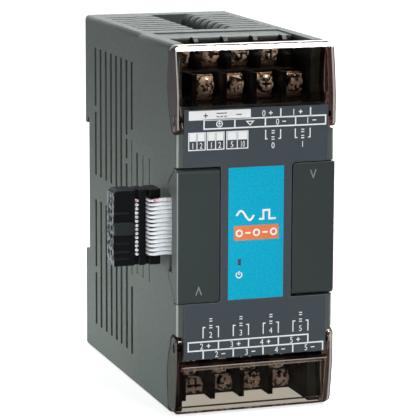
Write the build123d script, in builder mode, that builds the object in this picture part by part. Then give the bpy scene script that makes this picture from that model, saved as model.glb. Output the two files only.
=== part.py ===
from build123d import *
import os

# Narrow DIN-rail expansion module: moulded rear and front housings, two stepped
# terminal blocks under hinged clear covers, two front flaps, a ribbon lead with
# its plug, a spring-loaded rail clip and the boards inside.
#
# Frame, in millimetres: +X right, +Y to the rear, +Z up. The origin is the bottom
# centre of the housing. "p" in the helpers is the distance behind the front
# panel, so Y = p - DEPTH / 2.

# ---- driving dimensions -------------------------------------------------------
WIDTH = 40.0
HEIGHT = 90.0
DEPTH = 80.0
HALF = WIDTH / 2
WALL = 2.0

SEAM = 31.6            # front housing meets rear housing
TAB_FRONT = 20.0       # the rear housing's side tab reaches this far forward
TAB_LOW, TAB_HIGH = 26.5, 62.8

RAIL_LOW, RAIL_HIGH = 27.0, 63.0   # 36 mm groove for a 35 mm rail
RAIL_DEPTH = 3.3

PANEL_TOP, PANEL_LOW = 75.0, 14.3  # label panel between the two terminal bays
Z_SUM = PANEL_TOP + PANEL_LOW      # the lower bay is the upper one turned over
PANEL_HALF = 18.2                  # raised label panel
STRIP = 0.35                       # edge strips sit this far behind the panel
BAY_HALF = 16.4                    # inside of the bay cheeks
ROOF_FRONT = 20.5                  # roof strip over the terminal block
STRIP_UNDER = 88.9                 # underside of the thin upper strip

PITCH = 7.62
FRONT_X = [-9.52 + PITCH * i for i in range(4)]    # upper block, front tier
REAR_X = [-13.34 + PITCH * i for i in range(4)]    # upper block, rear tier
FRONT_Z, REAR_Z = 79.2, 86.0
FRONT_FACE, REAR_FACE = 12.2, 19.6                 # front face of the plates
PLATE = 0.8
TIER_Z = 82.4
BLOCK_BACK = 30.5
SHANK_R, THREAD_R = 1.45, 1.53
HEAD_R, HEAD_H = 2.2, 1.9

COVER_P, COVER_Z = 2.0, 72.4       # cover pivot
COVER_T = 1.3
WING_IN = 18.6
PEG_R, PEG_BORE_R = 1.0, 1.06

FLAP_SUM = 89.5                    # right flap is the left one turned end for end
FLAP_IN = 9.3                      # inner edge of the flap
FLAP_LOW, FLAP_HIGH = 28.4, 60.9
FLAP_P, FLAP_Z = 1.35, 59.55       # left flap pivot
FLAP_T = 1.6
SWEEP_R = 6.7

SLOT_COLS = [70.3, 65.5, 60.5, 55.8, 51.1, 46.6, 41.8, 37.2]
SLOT_W = 1.6
TROUGH = 36.2          # front end of the roof trough

RIBBON_T, RIBBON_LOW, RIBBON_HIGH = 0.9, 39.1, 53.1
RIBBON_P = 4.9
PLUG_F, PLUG_B, PLUG_LOW, PLUG_HIGH = 7.5, 13.2, 36.8, 55.3


# ---- helpers ---------------------------------------------------------------
def y_of(p):
    return p - DEPTH / 2


def block(x0, x1, p0, p1, z0, z1, mode=Mode.ADD):
    """Box between limits, p measured back from the front panel."""
    with Locations(((x0 + x1) / 2, y_of((p0 + p1) / 2), (z0 + z1) / 2)):
        Box(abs(x1 - x0), abs(p1 - p0), abs(z1 - z0), mode=mode)


def rod(x, z, p0, p1, r, mode=Mode.ADD):
    """Cylinder along Y."""
    with Locations(Location((x, y_of((p0 + p1) / 2), z), (90, 0, 0))):
        Cylinder(r, abs(p1 - p0), mode=mode)


def cross_rod(p, z, x0, x1, r, mode=Mode.ADD):
    """Cylinder along X."""
    with Locations(Location(((x0 + x1) / 2, y_of(p), z), (0, 90, 0))):
        Cylinder(r, abs(x1 - x0), mode=mode)


def side_plate(points, x0, x1, mode=Mode.ADD):
    """Side-view outline, points (p, z), extruded from x0 to x1."""
    with BuildSketch(Plane.YZ.offset(min(x0, x1))) as outline:
        with BuildLine():
            Polyline(*[(y_of(p), z) for p, z in points], close=True)
        make_face()
    extrude(outline.sketch, amount=abs(x1 - x0), mode=mode)


def front_plate(x0, x1, z0, z1, p0, p1, r, mode=Mode.ADD):
    """Front-view rectangle with rounded corners, extruded from p0 back to p1."""
    with BuildSketch(Plane.XZ.offset(-y_of(p0))) as outline:
        with Locations(((x0 + x1) / 2, (z0 + z1) / 2)):
            RectangleRounded(abs(x1 - x0), abs(z1 - z0), r)
    extrude(outline.sketch, amount=-(p1 - p0), mode=mode)


def up(z, low):
    """Height in the upper bay, or its turned-over height in the lower bay."""
    return Z_SUM - z if low else z


def turned(x0, x1, z0, z1, low):
    """Limits as they are, or turned over end for end."""
    if low:
        return -x1, -x0, Z_SUM - z1, Z_SUM - z0
    return x0, x1, z0, z1


# ---- rear housing ------------------------------------------------------------
with BuildPart() as rear_housing:
    side_plate([(SEAM, 0), (DEPTH, 0), (DEPTH, RAIL_LOW),
                (DEPTH - RAIL_DEPTH, RAIL_LOW), (DEPTH - RAIL_DEPTH, RAIL_HIGH),
                (DEPTH, RAIL_HIGH), (DEPTH, HEIGHT), (SEAM, HEIGHT)], -HALF, HALF)
    # soft long edges and rear corners
    fillet(rear_housing.edges().filter_by(Axis.Y).filter_by(
        lambda e: e.length > 40), radius=1.2)
    # side tabs that lap the front housing
    block(-HALF, -HALF + WALL, TAB_FRONT, SEAM + 1, TAB_LOW, TAB_HIGH)
    block(HALF - WALL, HALF, TAB_FRONT, SEAM + 1, TAB_LOW, TAB_HIGH)
    # inside of the shell
    block(-HALF + WALL, HALF - WALL, SEAM - 1, 74.7, WALL, HEIGHT - WALL,
          mode=Mode.SUBTRACT)
    block(-HALF + WALL, HALF - WALL, 74, DEPTH - WALL, 65, HEIGHT - WALL,
          mode=Mode.SUBTRACT)
    block(-HALF + WALL, -9.3, 74, DEPTH - WALL, WALL, 25, mode=Mode.SUBTRACT)
    block(9.3, HALF - WALL, 74, DEPTH - WALL, WALL, 25, mode=Mode.SUBTRACT)
    # walls and floor of the roof trough
    block(-4.9, 6.9, 35.2, 76.5, 83.4, HEIGHT - WALL + 0.5)
    block(-3.4, 5.4, TROUGH, 75.0, 85.2, HEIGHT + 1, mode=Mode.SUBTRACT)
    # rounded right-hand rim of the trough
    with BuildSketch(Plane.XZ.offset(-y_of(TROUGH))):
        with BuildLine():
            l1 = Line((5.2, HEIGHT + 0.5), (7.6, HEIGHT + 0.5))
            l2 = Line(l1 @ 1, (7.6, HEIGHT))
            l3 = RadiusArc(l2 @ 1, (5.4, HEIGHT - 2.2), -2.4)
            l4 = Line(l3 @ 1, (5.2, HEIGHT - 2.2))
            Line(l4 @ 1, l1 @ 0)
        make_face()
    extrude(amount=-(75.0 - TROUGH), mode=Mode.SUBTRACT)
    # roof and floor louvre slots
    with BuildSketch(Plane.XY.offset(HEIGHT + 1)):
        for c in SLOT_COLS:
            with Locations((0, y_of(c))):
                Rectangle(34, 1.5)
    extrude(amount=-(HEIGHT + 1 - 86.4), mode=Mode.SUBTRACT)
    with BuildSketch(Plane.XY.offset(-1)):
        for c in SLOT_COLS:
            with Locations((0, y_of(c))):
                Rectangle(34, 1.5)
    extrude(amount=WALL + 2, mode=Mode.SUBTRACT)
    # side vent slots, cut through both walls at once
    with BuildSketch(Plane.YZ.offset(-HALF - 1)):
        for i, c in enumerate(SLOT_COLS):
            if i == 0:
                spans = [(48.5, 65.3), (66.9, 82.3), (7.9, 22.0), (23.7, 41.9)]
            elif i == 6:
                spans = [(48.5, 55.9), (57.2, 62.3), (63.3, 82.3), (7.9, 41.9)]
            elif i == 7:
                spans = [(65.2, 82.3), (7.4, 25.0)]
            else:
                spans = [(48.5, 82.3), (7.9, 41.9)]
            for a, b in spans:
                with Locations((y_of(c), (a + b) / 2)):
                    Rectangle(SLOT_W, b - a)
        with Locations((y_of(32.6), 50.0)):
            Rectangle(1.3, 20.0)
    extrude(amount=WIDTH + 2, mode=Mode.SUBTRACT)
    # shallow styling grooves on the side walls
    for s in (-1, 1):
        with BuildSketch(Plane.YZ.offset(s * (HALF - 0.5))):
            for c, a, b in [(37.2, 28.0, 62.5), (32.6, 29.3, 39.0),
                            (27.5, 29.3, 60.2), (22.2, 29.3, 60.2)]:
                with Locations((y_of(c), (a + b) / 2)):
                    Rectangle(0.7, b - a)
        extrude(amount=s * 2.0, mode=Mode.SUBTRACT)
    # fixed upper rail lip
    block(-HALF, HALF, 78.1, DEPTH, 61.4, RAIL_HIGH + 0.5)
    # sliding clip guide in the lower rear
    block(-7.3, 7.3, 76.9, DEPTH + 1, -1, RAIL_LOW + 0.5, mode=Mode.SUBTRACT)
    block(-8.6, 8.6, 77.4, 78.7, 3.4, 24.5, mode=Mode.SUBTRACT)
    # spring rest
    block(-1.8, 1.8, 76.5, 79.3, 8.4, 9.7)
rear_housing.part.label = "rear_housing"

# ---- front housing -----------------------------------------------------------
WING_EDGE = [(6.4, 89.4), (6.8, 86.4), (7.4, 82.7), (7.5, 79.0), (6.5, 75.5),
             (4.9, 72.4)]

with BuildPart() as front_housing:
    block(-HALF, HALF, STRIP, SEAM, 0, HEIGHT)
    fillet(front_housing.edges().filter_by(Axis.Y), radius=1.2)
    fillet(front_housing.edges().filter_by(Axis.Z).group_by(Axis.Y)[0], radius=0.9)
    block(-PANEL_HALF, PANEL_HALF, 0, STRIP + 1, PANEL_LOW, PANEL_TOP)
    # inside of the body, between the shelves
    block(-HALF + WALL, HALF - WALL, 2.0, SEAM + 1, PANEL_LOW + 1.5,
          PANEL_TOP - 1.5, mode=Mode.SUBTRACT)
    # the rear housing's side tabs come in here
    for s in (-1, 1):
        block(s * (HALF - WALL), s * (HALF + 1), TAB_FRONT, SEAM + 1,
              TAB_LOW, TAB_HIGH, mode=Mode.SUBTRACT)
    # terminal bays
    block(-BAY_HALF, BAY_HALF, -1, SEAM + 1, PANEL_TOP, STRIP_UNDER, mode=Mode.SUBTRACT)
    block(-BAY_HALF, BAY_HALF, -1, ROOF_FRONT, PANEL_TOP, HEIGHT + 1,
          mode=Mode.SUBTRACT)
    block(-BAY_HALF, BAY_HALF, ROOF_FRONT - 1, SEAM + 1, 89.7, HEIGHT + 1,
          mode=Mode.SUBTRACT)
    block(-BAY_HALF, BAY_HALF, -1, SEAM + 1, 1.6, PANEL_LOW, mode=Mode.SUBTRACT)
    block(-BAY_HALF, BAY_HALF, -1, ROOF_FRONT, -1, PANEL_LOW, mode=Mode.SUBTRACT)
    # cheeks cut back to the covers' rear edges, and pockets for the cover ends
    for low in (False, True):
        side_plate([(-1, up(PANEL_TOP, low)), (6.85, up(PANEL_TOP, low)),
                    (7.8, up(79.0, low)), (7.7, up(82.7, low)),
                    (7.1, up(86.4, low)), (6.8, up(89.2, low)),
                    (6.7, up(92.0, low)), (-1, up(92.0, low))],
                   -HALF - 1, HALF + 1, mode=Mode.SUBTRACT)
        for s in (-1, 1):
            x_in, x_out = s * PANEL_HALF, s * (HALF + 1)
            cross_rod(COVER_P, up(COVER_Z, low), x_in, x_out, 3.55,
                      mode=Mode.SUBTRACT)
            side_plate([(-1, up(69.4, low)), (2.0, up(69.4, low)),
                        (5.3, up(71.9, low)), (6.85, up(PANEL_TOP, low)),
                        (6.85, up(76.0, low)), (-1, up(76.0, low))],
                       x_in, x_out, mode=Mode.SUBTRACT)
            cross_rod(COVER_P, up(COVER_Z, low), s * (PANEL_HALF - 0.5),
                      s * 19.8, PEG_R)
    # flap openings with the sweep of the flap's side wing
    for low in (False, True):
        s = 1 if low else -1

        def fz(z, low=low):
            return FLAP_SUM - z if low else z

        front_plate(s * 9.0, s * 26.0, fz(28.1), fz(61.2), -1, 2.3, 1.2,
                    mode=Mode.SUBTRACT)
        # square corner beside the turning knuckle
        block(s * 9.0, s * 10.6, -1, 2.3, fz(59.6), fz(61.2), mode=Mode.SUBTRACT)
        x_in, x_out = s * (HALF - WALL - 0.1), s * (HALF + 1)
        with BuildSketch(Plane.YZ.offset(min(x_in, x_out))):
            with Locations((y_of(FLAP_P), fz(FLAP_Z))):
                Circle(SWEEP_R + 0.3)
            with BuildLine():
                Polyline(*[(y_of(p), fz(z)) for p, z in [
                    (-6, 61.2), (1.7, 61.2), (7.5, 56.4), (7.5, 51.0), (-6, 51.0)]],
                    close=True)
            make_face(mode=Mode.INTERSECT)
            with BuildLine():
                Polyline(*[(y_of(p), fz(z)) for p, z in [
                    (-6, 61.0), (4.2, 56.0), (4.2, 36.0), (6.1, 36.0), (6.7, 35.6),
                    (6.7, 34.1), (3.7, 30.8), (1.0, 28.1), (-6, 28.1)]], close=True)
            make_face()
        extrude(amount=abs(x_out - x_in), mode=Mode.SUBTRACT)
        # lead slot on the left, port mouth on the right
        if low:
            block(x_in, x_out, 3.9, 14.6, 35.4, 56.6, mode=Mode.SUBTRACT)
        else:
            block(x_in, x_out, 3.9, 6.1, 35.6, 54.0, mode=Mode.SUBTRACT)
        # boss that holds the flap pin behind the panel
        block(s * 5.6, s * 9.0, 1.5, 3.4, fz(58.2), fz(60.9))
        cross_rod(FLAP_P, fz(FLAP_Z), s * 6.0, s * 10.0, 0.6, mode=Mode.SUBTRACT)
    # label recess and light pipe hole
    block(-7.1, 7.0, -1, 0.2, 28.5, 60.7, mode=Mode.SUBTRACT)
    block(-4.65, -3.75, -1, 3, 36.85, 38.45, mode=Mode.SUBTRACT)
    # snap tongues into the rear housing
    for s in (-1, 1):
        for a, b in [(78, 84), (5.3, 11.3)]:
            block(s * BAY_HALF, s * 17.8, SEAM - 0.6, 36.5, a, b)
front_housing.part.label = "front_housing"


# ---- terminal blocks ---------------------------------------------------------
def terminal_block(low):
    top = 87.6 if low else STRIP_UNDER - 0.1
    with BuildPart() as body:
        side_plate([(13.0, up(75.1, low)), (13.0, up(TIER_Z, low)),
                    (20.4, up(TIER_Z, low)), (20.4, up(top, low)),
                    (BLOCK_BACK, up(top, low)), (BLOCK_BACK, up(75.1, low))],
                   -BAY_HALF + 0.1, BAY_HALF - 0.1)
        # partitions between the terminals of each tier
        for x in REAR_X:
            a, b, c, d = turned(x - 0.6, x + 0.6, 75.1, TIER_Z, low)
            block(a, b, 7.2, 13.5, c, d)
        for x in FRONT_X:
            a, b, c, d = turned(x - 0.6, x + 0.6, TIER_Z - 0.4, 89.2, low)
            if low:
                block(a, b, 15.0, 20.45, c, d)
            else:
                side_plate([(15.0, c), (15.0, 85.6), (17.4, 86.0), (17.4, 89.0),
                            (18.4, 90.0), (20.45, 90.0), (20.45, c)], a, b)
        # screw bores and pin slots
        for xs, z, face, pin_z in [(FRONT_X, FRONT_Z, FRONT_FACE, 76.8),
                                   (REAR_X, REAR_Z, REAR_FACE, 83.6)]:
            for x in xs:
                sx = -x if low else x
                rod(sx, up(z, low), face, face + 8.0, THREAD_R, mode=Mode.SUBTRACT)
                block(sx - 0.5, sx + 0.5, face, BLOCK_BACK + 1,
                      up(pin_z, low) - 0.5, up(pin_z, low) + 0.5, mode=Mode.SUBTRACT)
    return body


upper_terminal_block = terminal_block(False)
upper_terminal_block.part.label = "upper_terminal_block"
lower_terminal_block = terminal_block(True)
lower_terminal_block.part.label = "lower_terminal_block"


def terminal_plates(low):
    """Eight tapped plates, each with a pin that runs back to the front board."""
    with BuildPart() as plates:
        for xs, z, face, pin_z in [(FRONT_X, FRONT_Z, FRONT_FACE, 76.8),
                                   (REAR_X, REAR_Z, REAR_FACE, 83.6)]:
            for x in xs:
                foot, head = (3.7, 2.5) if face == FRONT_FACE else (3.4, 1.7)
                a, b, c, d = turned(x - 2.4, x + 2.4, z - foot, z + head, low)
                block(a, b, face, face + PLATE, c, d)
                sx = -x if low else x
                block(sx - 0.4, sx + 0.4, face + 0.2, 35.1,
                      up(pin_z, low) - 0.4, up(pin_z, low) + 0.4)
                rod(sx, up(z, low), face - 1, face + 2, THREAD_R,
                    mode=Mode.SUBTRACT)
    return plates


upper_terminal_plates = terminal_plates(False)
upper_terminal_plates.part.label = "upper_terminal_plates"
lower_terminal_plates = terminal_plates(True)
lower_terminal_plates.part.label = "lower_terminal_plates"


def terminal_screw(x, z, face):
    """M3 class terminal screw with its captive square clamp washer."""
    with BuildPart() as screw:
        block(x - 2.2, x + 2.2, face - 0.8, face, z - 2.1, z + 2.1)
        rod(x, z, face - 2, face + 2, 1.75, mode=Mode.SUBTRACT)
        rod(x, z, face - 0.8 - HEAD_H, face - 0.82, HEAD_R)
        fillet(screw.edges().filter_by(GeomType.CIRCLE).group_by(Axis.Y)[0],
               radius=1.15)
        rod(x, z, face - 1.0, face + 6.0, SHANK_R)
        top = face - 0.8 - HEAD_H
        block(x - 1.5, x + 1.5, top - 0.5, top + 1.0, z - 0.35, z + 0.35,
              mode=Mode.SUBTRACT)
        block(x - 0.35, x + 0.35, top - 0.5, top + 1.0, z - 1.5, z + 1.5,
              mode=Mode.SUBTRACT)
    return screw


SCREWS = {}
for row, low in (("upper", False), ("lower", True)):
    places = [(x, FRONT_Z, FRONT_FACE, "front") for x in FRONT_X]
    places += [(x, REAR_Z, REAR_FACE, "rear") for x in REAR_X]
    for k, (x, z, face, tier) in enumerate(places):
        name = "%s_%s_screw_%d" % (row, tier, k % 4 + 1)
        screw = terminal_screw(-x if low else x, up(z, low), face)
        screw.part.label = name
        SCREWS[name] = screw


# ---- terminal covers -----------------------------------------------------------
# side-view curve of the cover's outer face, as (p, height above the pivot)
FACE_CURVE = [(-0.25, 3.45), (-0.2, 5.2), (0.35, 9.9), (1.15, 14.6), (1.7, 16.4)]


def cover(low):
    top = 17.6 if not low else 16.6

    def cz(h):
        return up(COVER_Z + h, low)

    with BuildPart() as part:
        outer = ([(p, cz(h)) for p, h in FACE_CURVE[:-1]]
                 + [(1.5, cz(top - 1.25)), (2.5, cz(top - 0.22)), (2.95, cz(top))])
        inner = [(4.8, cz(top)), (4.8, cz(top - 1.3)), (3.4, cz(top - 1.3)),
                 (2.45, cz(14.6)), (1.65, cz(9.9)), (1.15, cz(5.6)),
                 (2.6, cz(5.2)), (2.6, cz(3.45))]
        side_plate(outer + inner, -HALF, HALF)
        for s in (-1, 1):
            x_in, x_out = s * WING_IN, s * HALF
            with BuildSketch(Plane.YZ.offset(min(x_in, x_out))):
                with Locations((y_of(COVER_P), cz(0))):
                    Circle(2.9)
                with BuildLine():
                    edge = [(p, h - COVER_Z) for p, h in WING_EDGE]
                    if low:
                        edge = [(6.3, top - 0.5)] + edge[1:]
                    Polyline(*[(y_of(p), cz(h)) for p, h in
                               [(-0.25, 0.0), (-0.25, 3.45)] + FACE_CURVE[1:-1]
                               + [(1.5, top - 1.25), (2.5, top - 0.22), (2.95, top),
                                  (5.6, top)] + edge], close=True)
                make_face()
                with Locations((y_of(-2.25), cz(0))):
                    Rectangle(4.0, 8.0, mode=Mode.SUBTRACT)
            extrude(amount=abs(x_out - x_in))
            cross_rod(COVER_P, cz(0), s * (WING_IN - 1), s * (HALF + 1), PEG_BORE_R,
                      mode=Mode.SUBTRACT)
        # rounded upper corners, seen from the front
        for s in (-1, 1):
            with BuildSketch(Plane.XZ.offset(-y_of(-1))) as corner:
                with BuildLine():
                    a, b = s * (HALF - 1.5), cz(top - 1.5)
                    Line((s * (HALF + 1), cz(top + 1)), (s * (HALF + 1), b))
                    Line((s * (HALF + 1), b), (s * HALF, b))
                    ThreePointArc((s * HALF, b),
                                  (a + s * 1.5 * 0.70711,
                                   cz(top - 1.5 + 1.5 * 0.70711)), (a, cz(top)))
                    Line((a, cz(top)), (a, cz(top + 1)))
                    Line((a, cz(top + 1)), (s * (HALF + 1), cz(top + 1)))
                make_face()
            extrude(corner.sketch, amount=-12, mode=Mode.SUBTRACT)
    return part


upper_terminal_cover = cover(False)
upper_terminal_cover.part.label = "upper_terminal_cover"
lower_terminal_cover = cover(True)
lower_terminal_cover.part.label = "lower_terminal_cover"


# ---- front flaps ---------------------------------------------------------------
def flap(low):
    s = 1 if low else -1

    def fz(z):
        return FLAP_SUM - z if low else z

    with BuildPart() as part:
        # front plate with its round knuckle edge
        with BuildSketch(Plane.YZ.offset(min(s * FLAP_IN, s * HALF))):
            with Locations((y_of(FLAP_T / 2), fz((FLAP_LOW + FLAP_Z) / 2))):
                Rectangle(FLAP_T, FLAP_Z - FLAP_LOW)
            with Locations((y_of(FLAP_P), fz(FLAP_Z))):
                Circle(FLAP_P)
        extrude(amount=HALF - FLAP_IN)
        fillet(part.edges().filter_by(Axis.Y).group_by(Axis.X)[0 if low else -1]
               .sort_by(Axis.Z)[-1 if low else 0], radius=0.9)
        # side wing
        x_in, x_out = s * 18.5, s * HALF
        with BuildSketch(Plane.YZ.offset(min(x_in, x_out))):
            with Locations((y_of(FLAP_P), fz(FLAP_Z))):
                Circle(SWEEP_R)
            with BuildLine():
                Polyline(*[(y_of(p), fz(z)) for p, z in [
                    (0.3, FLAP_Z), (1.5, 60.85), (7.15, 56.2), (7.15, 52.0),
                    (0.3, 52.0)]], close=True)
            make_face(mode=Mode.INTERSECT)
            with BuildLine():
                Polyline(*[(y_of(p), fz(z)) for p, z in [
                    (0.3, 58.0), (3.9, 54.2), (3.9, 35.3), (6.4, 35.3), (6.4, 34.2),
                    (3.45, 30.9), (1.2, FLAP_LOW + 0.3), (0.3, FLAP_LOW + 0.3)]],
                    close=True)
            make_face()
        extrude(amount=abs(x_out - x_in))
        cross_rod(FLAP_P, fz(FLAP_Z), s * 9.0, s * 18.4, 0.66, mode=Mode.SUBTRACT)
        # finger arrow moulded in the face
        with BuildSketch(Plane.XZ.offset(-y_of(0))):
            with BuildLine():
                Polyline((s * 15.2, fz(30.2)), (s * 14.5, fz(32.1)),
                         (s * 13.8, fz(30.2)))
            trace(line_width=0.25)
        extrude(amount=-0.15, mode=Mode.SUBTRACT)
    return part


left_flap = flap(False)
left_flap.part.label = "left_flap"
right_flap = flap(True)
right_flap.part.label = "right_flap"

with BuildPart() as flap_pins:
    cross_rod(FLAP_P, FLAP_Z, -18.2, -6.0, 0.6)
    cross_rod(FLAP_P, FLAP_SUM - FLAP_Z, 6.0, 18.2, 0.6)
flap_pins.part.label = "flap_hinge_pins"

# ---- label and lamp --------------------------------------------------------------
with BuildPart() as face_label:
    block(-7.06, 6.97, 0, 0.2, 28.52, 60.68)
    block(-4.65, -3.75, -1, 1, 36.85, 38.45, mode=Mode.SUBTRACT)
face_label.part.label = "face_label"

with BuildPart() as light_pipe:
    block(-4.6, -3.8, 0.05, 2.0, 36.9, 38.4)
    block(-5.4, -3.0, 2.0, 2.8, 36.6, 38.7)
light_pipe.part.label = "light_pipe"

with BuildPart() as status_led:
    block(-5.2, -3.2, 3.0, 6.0, 36.8, 38.5)
    block(-3.3, 1.9, 4.6, 5.1, 37.0, 37.5)
    block(-3.3, 1.9, 4.6, 5.1, 37.8, 38.3)
status_led.part.label = "status_led"

# ---- boards ----------------------------------------------------------------------
with BuildPart() as front_board:
    block(-16.0, 16.0, 33.0, 34.6, 3.0, 86.3)
    for low in (False, True):
        for xs, pin_z in [(FRONT_X, 76.8), (REAR_X, 83.6)]:
            for x in xs:
                rod(-x if low else x, up(pin_z, low), 32, 36, 0.72,
                    mode=Mode.SUBTRACT)
front_board.part.label = "front_board"

with BuildPart() as bus_board:
    block(1.9, 3.5, 3.0, 33.0, 32.0, 60.0)
bus_board.part.label = "bus_board"

with BuildPart() as main_board:
    block(-9.6, -8.0, 36.0, 73.0, 5.0, 82.5)
main_board.part.label = "main_board"

with BuildPart() as power_board:
    block(8.0, 9.6, 36.0, 73.0, 5.0, 82.5)
power_board.part.label = "power_board"

with BuildPart() as board_connectors:
    block(-10.4, -7.2, 34.6, 36.0, 20, 70)
    block(7.2, 10.4, 34.6, 36.0, 20, 70)
board_connectors.part.label = "board_connectors"

with BuildPart() as integrated_circuits:
    for a, b, c, d in [(44, 58, 40, 54), (60, 68, 18, 26), (42, 50, 64, 70),
                       (54, 62, 64, 70), (42, 50, 14, 24)]:
        block(-11.2, -9.6, a, b, c, d)
integrated_circuits.part.label = "integrated_circuits"

with BuildPart() as dc_converter:
    block(9.6, 17.0, 40, 64, 50, 76)
    fillet(dc_converter.edges().filter_by(Axis.X), radius=1.0)
dc_converter.part.label = "dc_converter"

with BuildPart() as capacitors:
    for p, z in [(45, 16), (57, 16), (45, 29), (57, 29)]:
        cross_rod(p, z, 9.6, 17.0, 4.0)
    fillet(capacitors.edges().filter_by(GeomType.CIRCLE).group_by(Axis.X)[-1],
           radius=0.6)
capacitors.part.label = "electrolytic_capacitors"

# ---- bus connectors --------------------------------------------------------------
PORT_P, PORT_Z = 10.35, 46.05
with BuildPart() as expansion_header:
    block(3.5, 11.5, 6.5, 14.2, 35.7, 56.4)
    block(6.0, 12.5, 7.3, 13.4, 36.5, 55.6, mode=Mode.SUBTRACT)
    block(6.0, 12.5, 6.0, 7.4, 44.3, 47.8, mode=Mode.SUBTRACT)
expansion_header.part.label = "expansion_header"

with BuildPart() as expansion_pins:
    for q in (-1, 1):
        for k in range(7):
            z = PORT_Z + 2.0 * (k - 3)
            block(6.0, 11.0, PORT_P + q - 0.25, PORT_P + q + 0.25, z - 0.25, z + 0.25)
expansion_pins.part.label = "expansion_pins"

with BuildPart() as ribbon_header:
    block(-4.0, 1.9, 3.2, 8.4, 38.7, 53.6)
ribbon_header.part.label = "ribbon_header"

with BuildPart() as ribbon_inner:
    block(-19.8, -4.0, RIBBON_P - RIBBON_T / 2, RIBBON_P + RIBBON_T / 2,
          RIBBON_LOW, RIBBON_HIGH)
ribbon_inner.part.label = "ribbon_inner"

# the lead outside: out of the slot, back between relief and cap, round the cap
with BuildPart() as ribbon_outer:
    with BuildSketch(Plane.XY.offset(RIBBON_LOW)):
        with BuildLine() as route:
            FilletPolyline((-20.6, y_of(RIBBON_P)), (-24.95, y_of(RIBBON_P)),
                           (-24.95, y_of(14.7)), (-27.65, y_of(14.7)),
                           (-27.65, y_of(7.4)), radius=1.34)
        trace(line_width=RIBBON_T)
    extrude(amount=RIBBON_HIGH - RIBBON_LOW)
ribbon_outer.part.label = "ribbon_outer"
print("ribbon", ribbon_outer.part.volume,
      "section x length", RIBBON_T * (RIBBON_HIGH - RIBBON_LOW) * route.wires()[0].length)

# ---- ribbon plug -------------------------------------------------------------------
with BuildPart() as plug_body:
    block(-33.5, -28.2, PLUG_F, PLUG_B, PLUG_LOW, PLUG_HIGH)
    chamfer(plug_body.edges().filter_by(Axis.Y).group_by(Axis.X)[0]
            .sort_by(Axis.Z)[-1:], length=1.0)
    block(-33.3, -28.6, PLUG_F - 0.5, PLUG_F + 0.2, 44.5, 47.4)
    for q in (-1, 1):
        for k in range(7):
            z = PORT_Z + 2.0 * (k - 3)
            block(-34, -29.5, PORT_P + q - 0.5, PORT_P + q + 0.5, z - 0.5, z + 0.5,
                  mode=Mode.SUBTRACT)
plug_body.part.label = "plug_body"

with BuildPart() as plug_contacts:
    for q in (-1, 1):
        for k in range(7):
            z = PORT_Z + 2.0 * (k - 3)
            block(-32.6, -29.5, PORT_P + q - 0.3, PORT_P + q + 0.3, z - 0.3, z + 0.3)
plug_contacts.part.label = "plug_contacts"

with BuildPart() as plug_cap:
    block(-27.1, -25.5, PLUG_F, PLUG_B, PLUG_LOW, PLUG_HIGH)
    block(-28.2, -27.1, PLUG_F + 1.0, PLUG_B - 1.0, PLUG_LOW, 38.7)
    block(-28.2, -27.1, PLUG_F + 1.0, PLUG_B - 1.0, 53.5, PLUG_HIGH)
plug_cap.part.label = "plug_cap"

with BuildPart() as plug_strain_relief:
    block(-24.4, -21.7, PLUG_F, PLUG_B, PLUG_LOW, PLUG_HIGH)
    block(-25.5, -24.4, PLUG_F + 1.0, PLUG_B - 1.0, PLUG_LOW, 38.7)
    block(-25.5, -24.4, PLUG_F + 1.0, PLUG_B - 1.0, 53.5, PLUG_HIGH)
plug_strain_relief.part.label = "plug_strain_relief"

# ---- rail clip ---------------------------------------------------------------------
with BuildPart() as din_clip:
    block(-7.0, 7.0, 77.1, 79.8, 0.6, RAIL_LOW)
    block(-7.0, 7.0, 78.3, 79.8, RAIL_LOW - 0.5, 28.7)
    chamfer(din_clip.edges().filter_by(Axis.X).group_by(Axis.Z)[-1].sort_by(Axis.Y)[-1:],
            length=0.8)
    block(-8.2, 8.2, 77.7, 78.4, 7.0, 22.0)
    block(-2.3, 2.3, 76, 81, 7.9, 18.0, mode=Mode.SUBTRACT)
    block(-3.5, 3.5, 78.7, 81, 2.0, 4.6, mode=Mode.SUBTRACT)
din_clip.part.label = "din_clip"

SPRING_R, WIRE_R = 1.05, 0.18
with BuildPart() as din_spring:
    with BuildLine() as coil:
        Helix(pitch=1.3, height=17.9 - 9.8 - 2 * WIRE_R, radius=SPRING_R,
              center=(0, y_of(78.25), 9.8 + WIRE_R))
    with BuildSketch(Plane(origin=coil.line @ 0, z_dir=coil.line % 0)):
        Circle(WIRE_R)
    sweep(is_frenet=True)
din_spring.part.label = "din_spring"

# ---- write every piece ---------------------------------------------------------------
PIECES = [rear_housing, front_housing, upper_terminal_block, lower_terminal_block,
          upper_terminal_plates, lower_terminal_plates, upper_terminal_cover,
          lower_terminal_cover, left_flap, right_flap, flap_pins, face_label,
          light_pipe, status_led, front_board, bus_board, main_board, power_board,
          board_connectors, integrated_circuits, dc_converter, capacitors,
          expansion_header, expansion_pins, ribbon_header, ribbon_inner,
          ribbon_outer, plug_body, plug_contacts, plug_cap, plug_strain_relief,
          din_clip, din_spring] + list(SCREWS.values())

os.makedirs("parts", exist_ok=True)
for piece in PIECES:
    export_step(piece.part, "parts/" + piece.part.label + ".step")
print(len(PIECES), "nodes")
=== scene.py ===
import math

import bmesh
import bpy
from mathutils import Matrix, Vector


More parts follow.
